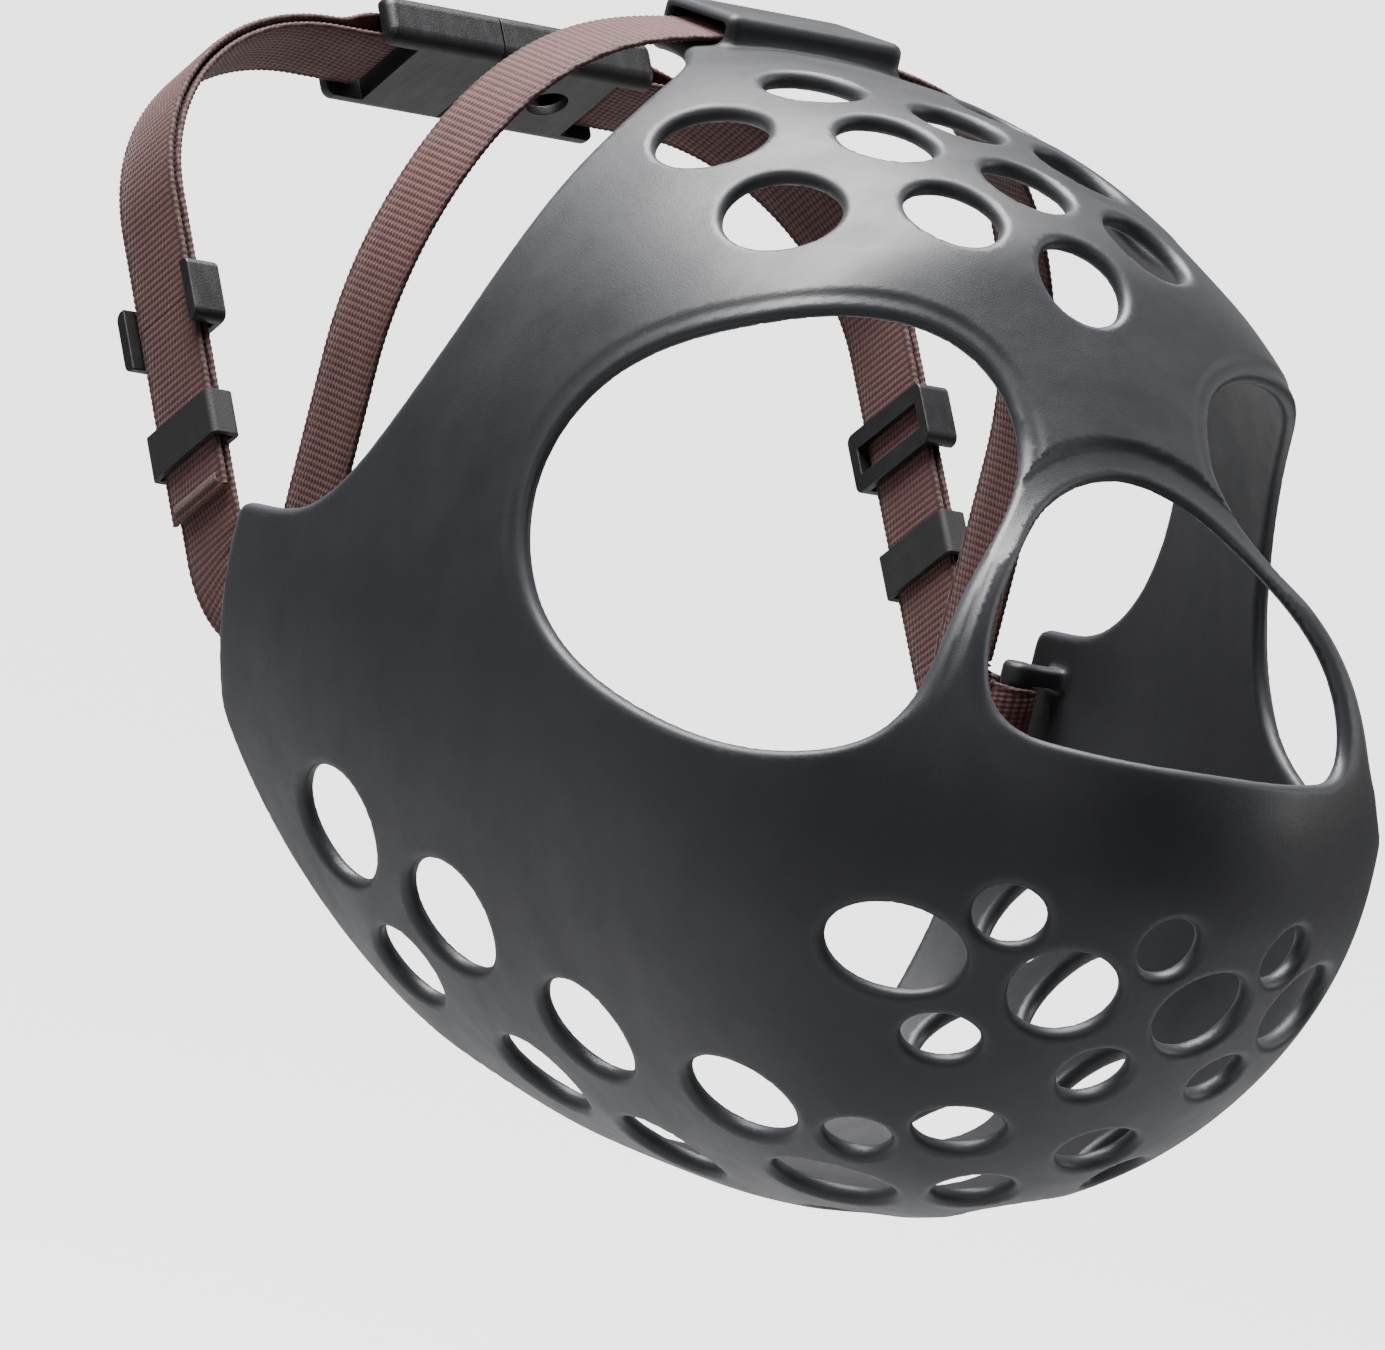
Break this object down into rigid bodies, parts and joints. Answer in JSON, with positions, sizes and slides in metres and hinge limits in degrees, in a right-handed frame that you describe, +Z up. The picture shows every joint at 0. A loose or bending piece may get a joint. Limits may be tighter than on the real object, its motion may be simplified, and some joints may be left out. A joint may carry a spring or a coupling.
{
  "type": "basket muzzle",
  "caption": "Short-snout basket muzzle: moulded silicone face basket with eye, nose and vent openings, and an adjustable webbing harness closed by a side-release buckle.",
  "frame": {"origin": "middle of the head cavity, on the centre plane, level with the lower edge of the eye openings", "axes": "nose towards -Y, +Z up as worn with the head level, +X to the wearer's left"},
  "size_m": [0.203, 0.3188, 0.2272],
  "materials": {
    "silicone": "satin moulded silicone, dark charcoal",
    "webbing": "woven nylon, russet brown, cross ribs and beaded edges",
    "thread": "bonded polyester thread, dense bar stitches",
    "acetal": "black acetal, fine spark-eroded texture",
    "keeper": "black elastomer loop, slightly glossy"
  },
  "bodies": {
    "basket": {"shell": "silicone", "webbing": "webbing", "tail_stitching_left": "thread", "tail_stitching_right": "thread", "buckle_housing": "acetal"},
    "clip": {"buckle_clip": "acetal"},
    "arm_upper": {"clip_arm_upper": "acetal"},
    "arm_lower": {"clip_arm_lower": "acetal"},
    "adjuster_left": {"adjuster_left": "acetal"},
    "adjuster_right": {"adjuster_right": "acetal"},
    "keeper_left": {"keeper_left": "keeper"},
    "keeper_right": {"keeper_right": "keeper"}
  },
  "joints": [
    {"name": "buckle_release", "type": "slide", "parent": "basket", "child": "clip", "axis": [-1, 0, 0], "range_m": [0, 0.026], "deforming": ["webbing", "clip_arm_upper", "clip_arm_lower"]},
    {"name": "arm_upper_squeeze", "type": "hinge", "parent": "clip", "child": "arm_upper", "pos_m": [-0.007, 0.19343, 0.09761], "axis": [0, 0.6428, 0.766], "range_deg": [0, 6.5], "stiffness_Nm_per_rad": 0.2},
    {"name": "arm_lower_squeeze", "type": "hinge", "parent": "clip", "child": "arm_lower", "pos_m": [-0.007, 0.20737, 0.08591], "axis": [0, -0.6428, -0.766], "range_deg": [0, 6.5], "stiffness_Nm_per_rad": 0.2},
    {"name": "adjuster_left_slide", "type": "slide", "parent": "basket", "child": "adjuster_left", "axis": [0, 0.6428, 0.766], "range_m": [-0.012, 0.012]},
    {"name": "adjuster_right_slide", "type": "slide", "parent": "basket", "child": "adjuster_right", "axis": [0, 0.6428, 0.766], "range_m": [-0.012, 0.012]},
    {"name": "keeper_left_slide", "type": "slide", "parent": "basket", "child": "keeper_left", "axis": [0, 0.6428, 0.766], "range_m": [-0.005, 0.003]},
    {"name": "keeper_right_slide", "type": "slide", "parent": "basket", "child": "keeper_right", "axis": [0, 0.6428, 0.766], "range_m": [-0.005, 0.003]}
  ],
  "couplings": [
    {"joint": "arm_lower_squeeze", "follows": "arm_upper_squeeze", "ratio": 1}
  ]
}
